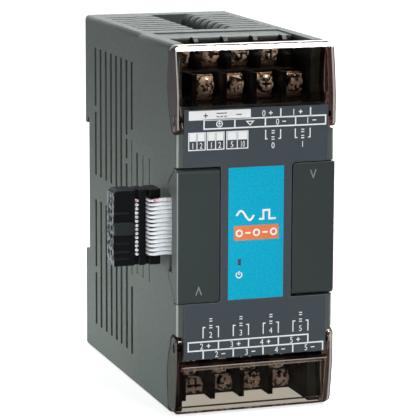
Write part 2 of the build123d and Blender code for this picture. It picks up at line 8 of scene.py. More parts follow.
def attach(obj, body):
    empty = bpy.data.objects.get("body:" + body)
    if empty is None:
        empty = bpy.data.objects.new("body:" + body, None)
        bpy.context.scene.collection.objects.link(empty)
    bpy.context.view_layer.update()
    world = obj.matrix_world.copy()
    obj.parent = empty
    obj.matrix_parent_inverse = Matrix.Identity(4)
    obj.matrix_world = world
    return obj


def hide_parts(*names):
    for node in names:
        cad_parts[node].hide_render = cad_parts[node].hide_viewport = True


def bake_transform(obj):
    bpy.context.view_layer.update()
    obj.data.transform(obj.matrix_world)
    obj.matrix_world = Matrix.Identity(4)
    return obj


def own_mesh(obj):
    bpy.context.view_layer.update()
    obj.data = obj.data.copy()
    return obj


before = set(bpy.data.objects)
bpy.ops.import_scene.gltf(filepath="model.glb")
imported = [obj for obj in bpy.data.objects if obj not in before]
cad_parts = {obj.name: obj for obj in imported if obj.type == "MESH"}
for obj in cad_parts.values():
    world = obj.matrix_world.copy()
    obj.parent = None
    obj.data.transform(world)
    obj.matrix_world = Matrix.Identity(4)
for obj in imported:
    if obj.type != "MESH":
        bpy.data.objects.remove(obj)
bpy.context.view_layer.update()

MM = 0.001
DEPTH = 80.0
HALF = 20.0
Z_SUM = 89.3
FLAP_SUM = 89.5
PITCH = 7.62


def Y(p):
    """Millimetres behind the front panel to the frame's Y, in metres."""
    return (p - DEPTH / 2) * MM


# ------------------------------------------------------------------ camera
def make_camera():
    az, el, roll = math.radians(-18.6103), math.radians(10.3921), math.radians(0.2511)
    back = Vector((math.sin(az) * math.cos(el), -math.cos(az) * math.cos(el),
                   math.sin(el)))
    look = Vector((-11.7226 * MM, -40.0 * MM, 50.8091 * MM))
    right = (-back).cross(Vector((0, 0, 1))).normalized()
    up = right.cross(-back)
    r2 = right * math.cos(roll) + up * math.sin(roll)
    u2 = -right * math.sin(roll) + up * math.cos(roll)
    data = bpy.data.cameras.new("camera")
    data.sensor_width = 36.0
    data.lens = 2339.45 * 36.0 / 420.0
    data.clip_start = 0.05
    data.clip_end = 20.0
    cam = bpy.data.objects.new("camera", data)
    bpy.context.scene.collection.objects.link(cam)
    m = Matrix((r2, u2, back)).transposed().to_4x4()
    m.translation = look + back * 557.03 * MM
    cam.matrix_world = m
    bpy.context.scene.camera = cam


make_camera()
bpy.context.scene.view_settings.view_transform = "Standard"


# ------------------------------------------------------------------ light
def aim(ob, loc, target):
    d = Vector(target) - Vector(loc)
    ob.matrix_world = (Matrix.Translation(loc)
                       @ d.to_track_quat("-Z", "Y").to_matrix().to_4x4())


def area(name, loc, target, size, size_y, radiance, color=(1, 1, 1)):
    """Soft box; radiance times its area and pi gives its power."""
    data = bpy.data.lights.new(name, "AREA")
    data.shape = "RECTANGLE"
    data.size, data.size_y = size, size_y
    data.energy = radiance * math.pi * size * size_y
    data.color = color
    ob = bpy.data.objects.new(name, data)
    bpy.context.scene.collection.objects.link(ob)
    aim(ob, loc, target)


def spot(name, loc, target, watts, cone, color=(1, 1, 1), radius=0.06):
    data = bpy.data.lights.new(name, "SPOT")
    data.energy = watts
    data.color = color
    data.spot_size = math.radians(cone)
    data.spot_blend = 1.0
    data.shadow_soft_size = radius
    ob = bpy.data.objects.new(name, data)
    bpy.context.scene.collection.objects.link(ob)
    aim(ob, loc, target)


def make_world():
    """Soft surround: bright low behind the object, dim in front; plain white to the eye."""
    world = bpy.data.worlds.new("studio")
    bpy.context.scene.world = world
    world.use_nodes = True
    nt = world.node_tree
    nt.nodes.clear()

    def ranged(source, lo, hi, a, b):
        r = nt.nodes.new("ShaderNodeMapRange")
        for k, v in (("From Min", lo), ("From Max", hi), ("To Min", a), ("To Max", b)):
            r.inputs[k].default_value = v
        nt.links.new(source, r.inputs["Value"])
        return r.outputs[0]

    def maths(op, *values):
        n = nt.nodes.new("ShaderNodeMath")
        n.operation = op
        for sock, v in zip(n.inputs, values):
            if isinstance(v, float):
                sock.default_value = v
            else:
                nt.links.new(v, sock)
        return n.outputs[0]

    sep = nt.nodes.new("ShaderNodeSeparateXYZ")
    nt.links.new(nt.nodes.new("ShaderNodeTexCoord").outputs["Generated"], sep.inputs[0])
    x, y, z = sep.outputs
    base = ranged(y, -0.8, 0.5, WORLD[0], WORLD[1])
    low = maths("MULTIPLY", ranged(z, 0.05, 0.45, 1.0, 0.0), ranged(y, 0.2, 0.9, 0.0, WORLD[2]))
    low = maths("MULTIPLY", low, ranged(x, -0.20, 0.15, 0.0, 1.0))
    lit = maths("ADD", base, low)
    seen = nt.nodes.new("ShaderNodeLightPath").outputs["Is Camera Ray"]
    mix = maths("MULTIPLY_ADD", seen, maths("SUBTRACT", 1.0, lit), lit)
    bg = nt.nodes.new("ShaderNodeBackground")
    bg.inputs["Color"].default_value = (0.98, 0.99, 1.0, 1)
    nt.links.new(mix, bg.inputs["Strength"])
    out = nt.nodes.new("ShaderNodeOutputWorld")
    nt.links.new(bg.outputs[0], out.inputs["Surface"])


WORLD = (0.05, 0.42, 5.0)
make_world()
area("overhead", (0.36, -0.16, 1.05), (0, 0, 0.05), 0.32, 0.22, 48.0)
area("left_soft", (-0.92, -0.52, 0.30), (0, 0, 0.04), 0.26, 0.34, 4.8)
spot("left_low", (-0.80, 0.22, 0.10), (-0.02, 0.03, -0.045), 44.0, 15.0)
area("front_soft", (0.25, -0.95, 0.55), (0, 0, 0.045), 0.22, 0.22, 17.0)
spot("lead_fill", (-0.42, -0.46, 0.14), (-0.0245, -0.0345, 0.046), 11.0, 3.4, radius=0.02)


# ------------------------------------------------------------------ materials
class Mat:
    """A small helper round a node-based material with one Principled shader."""

    def __init__(self, name, color=(0.5, 0.5, 0.5), rough=0.5, metal=0.0, spec=0.5):
        self.mat = bpy.data.materials.new(name)
        self.mat.use_nodes = True
        self.nt = self.mat.node_tree
        self.bsdf = self.nt.nodes["Principled BSDF"]
        self.out = self.nt.nodes["Material Output"]
        self.bsdf.inputs["Base Color"].default_value = (*color, 1)
        self.bsdf.inputs["Roughness"].default_value = rough
        self.bsdf.inputs["Metallic"].default_value = metal
        self.bsdf.inputs["Specular IOR Level"].default_value = spec
        self.co = self.node("ShaderNodeTexCoord").outputs["Object"]

    def node(self, kind, **attrs):
        n = self.nt.nodes.new(kind)
        for k, v in attrs.items():
            setattr(n, k, v)
        return n

    def link(self, a, b):
        self.nt.links.new(a, b)

    def noise(self, per_mm, detail=2.0, rough=0.5, stretch=None):
        """Noise with features about 1/per_mm millimetres across."""
        n = self.node("ShaderNodeTexNoise")
        n.inputs["Scale"].default_value = per_mm / MM
        n.inputs["Detail"].default_value = detail
        n.inputs["Roughness"].default_value = rough
        src = self.co
        if stretch:
            m = self.node("ShaderNodeMapping")
            m.inputs["Scale"].default_value = stretch
            self.link(self.co, m.inputs["Vector"])
            src = m.outputs[0]
        self.link(src, n.inputs["Vector"])
        return n.outputs["Fac"]

    def ranged(self, value, lo, hi, a, b):
        r = self.node("ShaderNodeMapRange")
        r.inputs["From Min"].default_value = lo
        r.inputs["From Max"].default_value = hi
        r.inputs["To Min"].default_value = a
        r.inputs["To Max"].default_value = b
        self.link(value, r.inputs["Value"])
        return r.outputs[0]

    def mix(self, fac, c1, c2, blend="MIX"):
        m = self.node("ShaderNodeMix", data_type="RGBA", blend_type=blend)
        for sock, v in ((m.inputs[0], fac), (m.inputs[6], c1), (m.inputs[7], c2)):
            if isinstance(v, (int, float)):
                sock.default_value = v
            elif isinstance(v, tuple):
                sock.default_value = (*v[:3], 1)
            else:
                self.link(v, sock)
        return m.outputs[2]

    def color(self, out):
        self.link(out, self.bsdf.inputs["Base Color"])

    def rough(self, out):
        self.link(out, self.bsdf.inputs["Roughness"])

    def bump(self, layers, edge=0.0):
        """layers: (height output, strength, distance in mm); edge: rounded edges, mm."""
        normal = None
        if edge:
            b = self.node("ShaderNodeBevel", samples=4)
            b.inputs["Radius"].default_value = edge * MM
            normal = b.outputs[0]
        for height, strength, dist in layers:
            b = self.node("ShaderNodeBump")
            b.inputs["Strength"].default_value = strength
            b.inputs["Distance"].default_value = dist * MM
            self.link(height, b.inputs["Height"])
            if normal:
                self.link(normal, b.inputs["Normal"])
            normal = b.outputs[0]
        if normal:
            self.link(normal, self.bsdf.inputs["Normal"])

    def edge_fac(self, amount, radius=0.35):
        """Grows towards hard edges, where the rounded and true normals part."""
        bev = self.node("ShaderNodeBevel", samples=4)
        bev.inputs["Radius"].default_value = radius * MM
        geo = self.node("ShaderNodeNewGeometry")
        dot = self.node("ShaderNodeVectorMath", operation="DOT_PRODUCT")
        self.link(bev.outputs[0], dot.inputs[0])
        self.link(geo.outputs["Normal"], dot.inputs[1])
        return self.ranged(dot.outputs["Value"], 0.72, 1.0, amount, 0.0)


def zone(m, box):
    """1 inside a box of the frame, in millimetres with p for depth, else 0."""
    sep = m.node("ShaderNodeSeparateXYZ")
    m.link(m.co, sep.inputs[0])
    total = None
    for axis, (lo, hi) in enumerate(box):
        if axis == 1:
            lo = None if lo is None else lo - DEPTH / 2
            hi = None if hi is None else hi - DEPTH / 2
        for limit, op in ((lo, "GREATER_THAN"), (hi, "LESS_THAN")):
            if limit is None:
                continue
            n = m.node("ShaderNodeMath", operation=op)
            m.link(sep.outputs[axis], n.inputs[0])
            n.inputs[1].default_value = limit * MM
            if total is None:
                total = n.outputs[0]
            else:
                t = m.node("ShaderNodeMath", operation="MULTIPLY")
                m.link(total, t.inputs[0])
                m.link(n.outputs[0], t.inputs[1])
                total = t.outputs[0]
    return total


def facing(m, axis):
    """The surface normal's component along an axis of the frame."""
    sep = m.node("ShaderNodeSeparateXYZ")
    m.link(m.node("ShaderNodeNewGeometry").outputs["Normal"], sep.inputs[0])
    return sep.outputs[axis]


def upright_edge(m):
    """Grows on rounded upright edges, where the normal has both X and Y in it."""
    a = m.node("ShaderNodeMath", operation="MULTIPLY")
    m.link(facing(m, 0), a.inputs[0])
    m.link(facing(m, 1), a.inputs[1])
    b = m.node("ShaderNodeMath", operation="ABSOLUTE")
    m.link(a.outputs[0], b.inputs[0])
    return b.outputs[0]


def tone(color, k):
    return tuple(min(1.0, v * k) for v in color)


def moulded(name, color, light, rough=0.52, grain=0.35, edge=0.3, spec=0.4, edge_highlight=0.45,
            zones=(), rim_highlight=None):
    """Spark-eroded moulded plastic: fine grain, faint cloudiness, paler edges.

    zones: (box, colour) pairs, for faces that carry another colour, painted shade and painted light
    among them; the rim colour is a painted highlight on rounded upright edges.
    """
    m = Mat(name, color, rough, spec=spec)
    cloud = m.noise(0.035, 3, 0.55)
    fine = m.noise(4.5, 2, 0.6)
    mid = m.noise(0.9, 2, 0.5)
    c = m.mix(m.ranged(cloud, 0.3, 0.7, 0.0, 1.0), tone(color, 0.94), tone(color, 1.07))
    for box, other in zones:
        if other == "mottle":
            other = m.mix(m.ranged(m.noise(0.8, 3, 0.6), 0.44, 0.56, 0.0, 1.0),
                          (0.026, 0.032, 0.037), (0.26, 0.30, 0.31))
        c = m.mix(zone(m, box), c, other)
    # painted highlight: rounded upright edges turn towards the rim colour
    if rim_highlight:
        c = m.mix(m.ranged(upright_edge(m), 0.33, 0.47, 0.0, 0.95), c, rim_highlight)
    c = m.mix(m.ranged(fine, 0.35, 0.65, 0.0, 0.15), c, tone(color, 1.6))
    # painted highlight: hard edges pale towards the light colour
    c = m.mix(m.edge_fac(edge_highlight), c, light)
    m.color(c)
    m.rough(m.ranged(mid, 0.3, 0.7, rough - 0.05, rough + 0.06))
    m.bump([(fine, grain, 0.03), (m.noise(1.6, 2, 0.5), 0.15, 0.03)], edge)
    return m.mat


M = {}
M["case"] = moulded("case_plastic", (0.078, 0.098, 0.086), (0.19, 0.215, 0.20))
FILM = ((-18.25, 18.25), (None, 0.3), (14.25, 75.05))
# painted shade: near-black for parts of the panel moulding that lie in shade
PAINTED_SHADE = (0.0045, 0.0035, 0.0035)
M["panel"] = moulded(
    "panel_plastic", (0.074, 0.094, 0.085), (0.20, 0.225, 0.215), rim_highlight=(0.40, 0.45, 0.43),
    zones=[(FILM, (0.037, 0.051, 0.068)),
           # painted shade: the inside of both terminal bays and the peg holes at the covers' pivots,
           # painted near-black
           (((-16.47, 16.47), (0.36, 31.0), (74.9, 89.2)), PAINTED_SHADE),
           (((-16.47, 16.47), (0.36, 31.0), (1.5, 14.4)), PAINTED_SHADE),
           (((-20.1, -18.15), (0.3, 3.4), (70.9, 73.9)), PAINTED_SHADE),
           (((18.15, 20.1), (0.3, 3.4), (70.9, 73.9)), PAINTED_SHADE),
           (((-20.1, -18.15), (0.3, 3.4), (15.4, 18.4)), PAINTED_SHADE),
           (((18.15, 20.1), (0.3, 3.4), (15.4, 18.4)), PAINTED_SHADE)])
# painted highlight: pale colour for the flap's rounded upright edges and a strip along its left
# front edge
EDGE_HIGHLIGHT = (0.30, 0.34, 0.33)
M["flap"] = moulded(
    "flap_plastic", (0.0205, 0.0315, 0.0305), (0.15, 0.18, 0.175), rim_highlight=EDGE_HIGHLIGHT,
    # painted light: the flap's side face gets the paler case colour, lighter than its front
    zones=[(((None, -19.93), (None, None), (None, None)), (0.078, 0.098, 0.090)),
           # painted highlight: a pale strip along the flap's left front edge
           (((None, -19.70), (None, 0.12), (None, None)), EDGE_HIGHLIGHT)])
M["black"] = moulded("black_plastic", (0.0042, 0.0036, 0.0036), (0.035, 0.034, 0.034),
                     0.40, 0.25, 0.15, 0.18)
M["plug"] = moulded(
    "plug_black", (0.0034, 0.0040, 0.0046), (0.09, 0.10, 0.105), 0.42, 0.2, 0.2, 0.09,
    zones=[(((-33.6, -28.3), (None, 7.45), (44.3, 47.6)), (0.021, 0.027, 0.029)),
           # painted light: the plug's top, above z 55.1 mm, is painted paler, as lit from above
           (((None, None), (None, None), (55.1, None)), (0.042, 0.047, 0.053)),
           (((None, -33.3), (None, None), (None, None)), "mottle")])
M["clip"] = moulded("clip_plastic", (0.030, 0.034, 0.035), (0.10, 0.11, 0.11), 0.45)


def metal(name, color, rough, scratch=0.25, edge=0.12):
    m = Mat(name, color, rough, 1.0)
    brushed = m.noise(1.2, 3, 0.6, stretch=(1, 1, 7))
    stain = m.noise(0.5, 3, 0.6)
    m.color(m.mix(m.ranged(stain, 0.4, 0.75, 0, 0.5), color, tone(color, 0.6)))
    m.rough(m.ranged(brushed, 0.3, 0.7, rough - 0.06, rough + 0.10))
    m.bump([(brushed, scratch, 0.02), (m.noise(2.5, 2, 0.5), 0.2, 0.02)], edge)
    return m.mat


def screw_metal():
    """Plated pan head, its colour broken into painted highlight spots and near-black painted
    reflection between them.
    """
    m = Mat("screw_metal", (0.85, 0.66, 0.52), 0.15, 0.55)
    lumps = m.noise(0.75, 2, 0.5)
    fine = m.noise(2.2, 2, 0.6)
    # painted highlights: bright spots in the base colour, with near-black painted reflection around
    # them
    highlight_spots = m.ranged(lumps, 0.435, 0.505, 0.0, 1.0)
    m.color(m.mix(highlight_spots, (0.06, 0.025, 0.015), (1.0, 0.83, 0.75)))
    m.link(m.ranged(highlight_spots, 0.0, 1.0, 0.6, 0.2), m.bsdf.inputs["Metallic"])
    # painted glint: the bright spots glow a little of their own, more below z 30 mm, since the
    # covers keep most of the light out
    painted_glow = m.node("ShaderNodeMath", operation="MULTIPLY")
    m.link(highlight_spots, painted_glow.inputs[0])
    m.link(m.ranged(zone(m, ((None, None), (None, None), (None, 30.0))), 0.0, 1.0, 0.04, 0.11),
           painted_glow.inputs[1])
    m.bsdf.inputs["Emission Color"].default_value = (1.0, 0.82, 0.72, 1)
    m.link(painted_glow.outputs[0], m.bsdf.inputs["Emission Strength"])
    m.rough(m.ranged(fine, 0.3, 0.7, 0.10, 0.26))
    m.bump([(lumps, 0.7, 0.35), (fine, 0.35, 0.06)], 0.12)
    return m.mat


M["brass"] = metal("tinned_brass", (0.42, 0.27, 0.19), 0.26)
M["screw"] = screw_metal()
M["steel"] = metal("spring_steel", (0.58, 0.58, 0.58), 0.3)
M["gold"] = metal("gold_pins", (0.83, 0.66, 0.30), 0.25)


def board():
    m = Mat("circuit_board", (0.02, 0.14, 0.06), 0.35)
    tracks = m.node("ShaderNodeTexBrick")
    tracks.inputs["Scale"].default_value = 160
    tracks.inputs["Mortar Size"].default_value = 0.08
    tracks.inputs["Color1"].default_value = (0.018, 0.12, 0.05, 1)
    tracks.inputs["Color2"].default_value = (0.022, 0.15, 0.06, 1)
    tracks.inputs["Mortar"].default_value = (0.05, 0.26, 0.10, 1)
    m.link(m.co, tracks.inputs["Vector"])
    m.color(m.mix(m.ranged(m.noise(0.4, 2), 0.45, 0.6, 0, 1), tracks.outputs["Color"],
                  (0.016, 0.11, 0.045)))
    m.bump([(tracks.outputs["Fac"], 0.2, 0.03)])
    return m.mat


M["board"] = board()


def sleeve():
    m = Mat("capacitor_sleeve", (0.02, 0.03, 0.08), 0.3)
    m.color(m.mix(m.ranged(m.noise(0.3, 2), 0.4, 0.6, 0, 1), (0.018, 0.028, 0.08),
                  (0.03, 0.04, 0.10)))
    m.bump([(m.noise(1.5, 2), 0.15, 0.03)], 0.2)
    return m.mat


M["sleeve"] = sleeve()


def label_blue():
    m = Mat("label_blue", (0.002, 0.38, 0.59), 0.5, spec=0.12)
    speck = m.noise(1.9, 2, 0.7)
    fine = m.noise(5.0, 1, 0.5)
    c = m.mix(m.ranged(speck, 0.40, 0.62, 0.0, 1.0), (0.000, 0.39, 0.62), (0.003, 0.48, 0.71))
    c = m.mix(m.ranged(fine, 0.50, 0.75, 0.0, 0.30), c, (0.02, 0.67, 0.87))
    m.color(c)
    m.bump([(fine, 0.12, 0.01)])
    return m.mat


M["label"] = label_blue()


def ink(name, color, rough=0.5, spec=0.3):
    m = Mat(name, color, rough, spec=spec)
    worn = m.noise(3.0, 2, 0.6)
    m.color(m.mix(m.ranged(worn, 0.55, 0.8, 0.0, 0.3), color, tone(color, 0.8)))
    m.bump([(m.noise(6.0, 1), 0.1, 0.01)])
    return m.mat


M["white_ink"] = ink("white_ink", (0.95, 0.97, 0.97))
M["dark_ink"] = ink("dark_ink", (0.045, 0.055, 0.06))
M["worn_mark"] = ink("worn_mark", (0.26, 0.30, 0.29))
M["orange_ink"] = ink("orange_ink", (0.90, 0.235, 0.085), spec=0.15)


def smoked():
    """Thin clear smoked wall: what is behind shows tinted, its face mirrors a little."""
    m = Mat("smoked_clear", (0.045, 0.026, 0.020), 0.05, spec=0.5)
    wave = m.node("ShaderNodeBump")
    wave.inputs["Strength"].default_value = 0.12
    wave.inputs["Distance"].default_value = 0.10 * MM
    m.link(m.noise(0.12, 2, 0.5), wave.inputs["Height"])
    clear = m.node("ShaderNodeBsdfTransparent")
    tint = m.mix(m.ranged(m.noise(0.07, 2), 0.3, 0.7, 0, 1), (0.715, 0.685, 0.625),
                 (0.74, 0.71, 0.65))
    # the lower cover's thick lower flange, z 12.65 to 14 mm, gets a near-black tint: painted shade;
    # the upper cover's, z 75.85 to 77.6 mm, a darker tint; then the end walls seen through their
    # length
    tint = m.mix(zone(m, ((None, None), (None, 2.7), (12.65, 14.0))), tint, (0.10, 0.055, 0.045))
    tint = m.mix(zone(m, ((None, None), (None, 2.7), (75.85, 77.6))), tint, (0.52, 0.42, 0.37))
    slant = m.node("ShaderNodeLayerWeight")
    slant.inputs["Blend"].default_value = 0.5
    tint = m.mix(m.ranged(slant.outputs["Facing"], 0.52, 0.68, 0.0, 1.0), tint,
                 (0.26, 0.19, 0.17))
    # the lower cover's end walls: pale over the case at the left, brown seen end on
    square = m.node("ShaderNodeMath", operation="MULTIPLY")
    m.link(facing(m, 0), square.inputs[0])
    m.link(facing(m, 0), square.inputs[1])
    sides = m.ranged(square.outputs[0], 0.5, 0.8, 0.0, 1.0)
    streak = m.mix(m.ranged(m.noise(1.1, 3, 0.6, stretch=(1, 1, 0.06)), 0.35, 0.65, 0, 1),
                   (0.86, 0.84, 0.81), (0.99, 0.98, 0.97))
    left = m.mix(sides, (0.36, 0.21, 0.20), streak)
    tint = m.mix(zone(m, ((None, -18.3), (None, 7.0), (None, 20.0))), tint, left)
    right = m.mix(sides, (0.36, 0.28, 0.25), (0.42, 0.34, 0.31))
    tint = m.mix(zone(m, ((18.3, None), (None, 7.0), (None, 14.5))), tint, right)
    brown = m.mix(sides, (0.44, 0.27, 0.25), (0.40, 0.31, 0.29))
    tint = m.mix(zone(m, ((18.3, None), (None, 7.0), (70.0, None))), tint, brown)
    m.link(tint, clear.inputs["Color"])
    fres = m.node("ShaderNodeFresnel")
    fres.inputs["IOR"].default_value = 1.36
    m.link(wave.outputs[0], fres.inputs["Normal"])
    base = m.ranged(fres.outputs[0], 0.024, 1.0, 0.003, 0.80)
    lip = m.ranged(facing(m, 2), 0.25, 0.5, 0.0, 0.027)
    rim_highlight = m.ranged(upright_edge(m), 0.16, 0.40, 0.0, 0.8)
    both = m.node("ShaderNodeMath", operation="ADD")
    m.link(base, both.inputs[0])
    m.link(rim_highlight, both.inputs[1])
    share = m.node("ShaderNodeMath", operation="ADD")
    m.link(both.outputs[0], share.inputs[0])
    m.link(lip, share.inputs[1])
    mixer = m.node("ShaderNodeMixShader")
    m.link(share.outputs[0], mixer.inputs[0])
    m.link(clear.outputs[0], mixer.inputs[1])
    gloss = m.node("ShaderNodeBsdfGlossy")
    gloss.inputs["Color"].default_value = (1.0, 0.95, 0.92, 1)
    scuff = m.noise(0.5, 3, 0.6, stretch=(1, 1, 0.3))
    m.link(m.ranged(scuff, 0.4, 0.8, 0.04, 0.10), gloss.inputs["Roughness"])
    m.link(wave.outputs[0], gloss.inputs["Normal"])
    m.link(gloss.outputs[0], mixer.inputs[2])
    # painted highlights: pale diffuse lines where cut edges catch the light, on the upright ends of
    # the face and along the lower flange's edge
    front = m.ranged(facing(m, 1), -0.85, -0.6, 1.0, 0.0)
    painted_highlight_lines = m.node("ShaderNodeMath", operation="ADD")
    m.link(zone(m, ((None, -19.68), (None, 3.2), (50.0, None))), painted_highlight_lines.inputs[0])
    m.link(zone(m, ((19.3, 19.76), (None, 3.2), (None, None))), painted_highlight_lines.inputs[1])
    more = m.node("ShaderNodeMath", operation="ADD")
    m.link(painted_highlight_lines.outputs[0], more.inputs[0])
    m.link(zone(m, ((-18.6, 18.6), (None, 2.7), (12.45, 12.65))), more.inputs[1])
    lit = m.node("ShaderNodeMath", operation="MULTIPLY")
    m.link(more.outputs[0], lit.inputs[0])
    m.link(front, lit.inputs[1])
    amount = m.ranged(lit.outputs[0], 0.0, 1.0, 0.0, 0.72)
    edge = m.node("ShaderNodeBsdfDiffuse")
    edge.inputs["Color"].default_value = (0.62, 0.57, 0.55, 1)
    last = m.node("ShaderNodeMixShader")
    m.link(amount, last.inputs[0])
    m.link(mixer.outputs[0], last.inputs[1])
    m.link(edge.outputs[0], last.inputs[2])
    side = m.node("ShaderNodeMath", operation="MULTIPLY")
    m.link(zone(m, ((None, -19.9), (None, 7.0), (None, 20.0))), side.inputs[0])
    m.link(sides, side.inputs[1])
    haze = m.node("ShaderNodeBsdfDiffuse")
    m.link(m.mix(m.ranged(m.noise(1.1, 3, 0.6, stretch=(1, 1, 0.06)), 0.35, 0.65, 0, 1),
                 (0.10, 0.104, 0.092), (0.155, 0.165, 0.15)), haze.inputs["Color"])
    over = m.node("ShaderNodeMixShader")
    m.link(m.ranged(side.outputs[0], 0.0, 1.0, 0.0, 0.62), over.inputs[0])
    m.link(last.outputs[0], over.inputs[1])
    m.link(haze.outputs[0], over.inputs[2])
    m.link(over.outputs[0], m.out.inputs["Surface"])
    m.nt.nodes.remove(m.bsdf)
    return m.mat


M["smoked"] = smoked()


def ribbon_mat(name, color, dark, patch=None):
    m = Mat(name, color, 0.34)
    n = m.noise(0.5, 3)
    c = m.mix(m.ranged(n, 0.3, 0.7, 0, 1), color, dark)
    if patch:
        c = m.mix(m.ranged(m.noise(0.9, 2, 0.6, stretch=(1, 1, 0.2)), 0.52, 0.60, 0, 1), c, patch)
    m.color(c)
    m.bump([(m.noise(3.0, 2), 0.12, 0.02)])
    return m.mat


M["ribbon"] = ribbon_mat("ribbon_grey", (0.93, 0.96, 0.98), (0.84, 0.87, 0.91))
M["ribbon_one"] = ribbon_mat("ribbon_first_wire", (0.93, 0.94, 0.97), (0.86, 0.84, 0.88),
                             (0.62, 0.22, 0.36))
# painted shade: the web between the wires is near-black, for the shade in the gaps
M["web"] = ribbon_mat("ribbon_gap_shade", (0.07, 0.075, 0.085), (0.04, 0.045, 0.05))
M["copper"] = metal("conductor_ends", (0.45, 0.34, 0.28), 0.4)
M["lamp"] = ink("lamp_guide", (0.055, 0.050, 0.075), 0.2, 0.5)
M["led"] = ink("lamp_body", (0.30, 0.45, 0.30), 0.3)

NODE_MATS = {
    "rear_housing": "case", "front_housing": "panel", "left_flap": "flap",
    "right_flap": "flap", "upper_terminal_block": "black", "lower_terminal_block": "black",
    "upper_terminal_plates": "brass", "lower_terminal_plates": "brass",
    "upper_terminal_cover": "smoked", "lower_terminal_cover": "smoked",
    "flap_hinge_pins": "steel", "face_label": "label", "light_pipe": "lamp",
    "status_led": "led", "front_board": "board", "bus_board": "board",
    "main_board": "board", "power_board": "board", "board_connectors": "black",
    "integrated_circuits": "black", "dc_converter": "black",
    "electrolytic_capacitors": "sleeve", "expansion_header": "black",
    "expansion_pins": "gold", "ribbon_header": "black", "ribbon_inner": "ribbon",
    "ribbon_outer": "ribbon", "plug_body": "plug", "plug_contacts": "gold",
    "plug_cap": "plug", "plug_strain_relief": "plug", "din_clip": "clip",
    "din_spring": "steel",
}
for name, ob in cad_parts.items():
    key = NODE_MATS.get(name, "screw" if "screw" in name else "case")
    ob.data.materials.clear()
    ob.data.materials.append(M[key])

BEVELS = {"left_flap": 0.28, "right_flap": 0.28, "plug_body": 0.22, "plug_cap": 0.22,
          "plug_strain_relief": 0.22, "upper_terminal_cover": 0.35,
          "lower_terminal_cover": 0.35, "upper_terminal_block": 0.12,
          "lower_terminal_block": 0.12, "front_housing": 0.14, "rear_housing": 0.12}
for name, width in BEVELS.items():
    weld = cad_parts[name].modifiers.new("weld", "WELD")
    weld.merge_threshold = 2e-6
    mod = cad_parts[name].modifiers.new("edges", "BEVEL")
    mod.width = width * MM
    mod.segments = 3
    mod.limit_method = "ANGLE"
    mod.angle_limit = math.radians(40)
    mod.use_clamp_overlap = True


# ------------------------------------------------------------------ mesh helpers
def mesh_object(name, bm, mats, body="root", smooth=False):
    me = bpy.data.meshes.new(name)
    bmesh.ops.recalc_face_normals(bm, faces=bm.faces)
    bm.to_mesh(me)
    bm.free()
    ob = bpy.data.objects.new(name, me)
    bpy.context.scene.collection.objects.link(ob)
    for m in mats if isinstance(mats, (list, tuple)) else [mats]:
        me.materials.append(m)
    if smooth:
        for p in me.polygons:
            p.use_smooth = True
    if body:
        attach(ob, body)
    return ob


def prism(bm, ring, p0, p1, mat=0):
    """Closed prism from a ring of (x, z) in millimetres, between two depths p."""
    a = [bm.verts.new((x * MM, Y(p0), z * MM)) for x, z in ring]
    b = [bm.verts.new((x * MM, Y(p1), z * MM)) for x, z in ring]
    faces = [bm.faces.new(a), bm.faces.new(list(reversed(b)))]
    n = len(ring)
    for i in range(n):
        j = (i + 1) % n
        faces.append(bm.faces.new((a[j], a[i], b[i], b[j])))
    for f in faces:
        f.material_index = mat


def rounded(x0, x1, z0, z1, r, steps=4):
    ring = []
    for cx, cz, a0 in ((x1 - r, z0 + r, -90), (x1 - r, z1 - r, 0), (x0 + r, z1 - r, 90),
                       (x0 + r, z0 + r, 180)):
        for i in range(steps + 1):
            a = math.radians(a0 + 90 * i / steps)
            ring.append((cx + r * math.cos(a), cz + r * math.sin(a)))
    return ring


def stroke(bm, pts, width, p0, p1, mat=0, closed=False):
    """Closed flat line of a given width along (x, z) points, mitred at its corners."""
    n = len(pts)
    lefts, rights = [], []
    for i, (x, z) in enumerate(pts):
        prev = pts[(i - 1) % n] if closed or i > 0 else None
        nxt = pts[(i + 1) % n] if closed or i < n - 1 else None
        dirs = []
        if prev:
            d = Vector((x - prev[0], z - prev[1]))
            dirs.append(d.normalized())
        if nxt:
            d = Vector((nxt[0] - x, nxt[1] - z))
            dirs.append(d.normalized())
        if len(dirs) == 2:
            t = (dirs[0] + dirs[1]).normalized()
            k = max(0.35, t.dot(dirs[0]))
        else:
            t, k = dirs[0], 1.0
        nrm = Vector((-t.y, t.x)) * (width / 2 / k)
        lefts.append((x + nrm.x, z + nrm.y))
        rights.append((x - nrm.x, z - nrm.y))
    if not closed:
        prism_strip(bm, lefts, rights, p0, p1, mat, False)
    else:
        prism_strip(bm, lefts, rights, p0, p1, mat, True)


def prism_strip(bm, lefts, rights, p0, p1, mat, closed):
    n = len(lefts)

    def ring(pts, p):
        return [bm.verts.new((x * MM, Y(p), z * MM)) for x, z in pts]

    lf, rf, lb, rb = ring(lefts, p0), ring(rights, p0), ring(lefts, p1), ring(rights, p1)
    faces = []
    for i in range(n if closed else n - 1):
        j = (i + 1) % n
        faces.append(bm.faces.new((lf[i], lf[j], rf[j], rf[i])))
        faces.append(bm.faces.new((lb[i], rb[i], rb[j], lb[j])))
        faces.append(bm.faces.new((lf[i], lb[i], lb[j], lf[j])))
        faces.append(bm.faces.new((rf[i], rf[j], rb[j], rb[i])))
    if not closed:
        faces.append(bm.faces.new((lf[0], rf[0], rb[0], lb[0])))
        faces.append(bm.faces.new((lf[-1], lb[-1], rb[-1], rf[-1])))
    for f in faces:
        f.material_index = mat


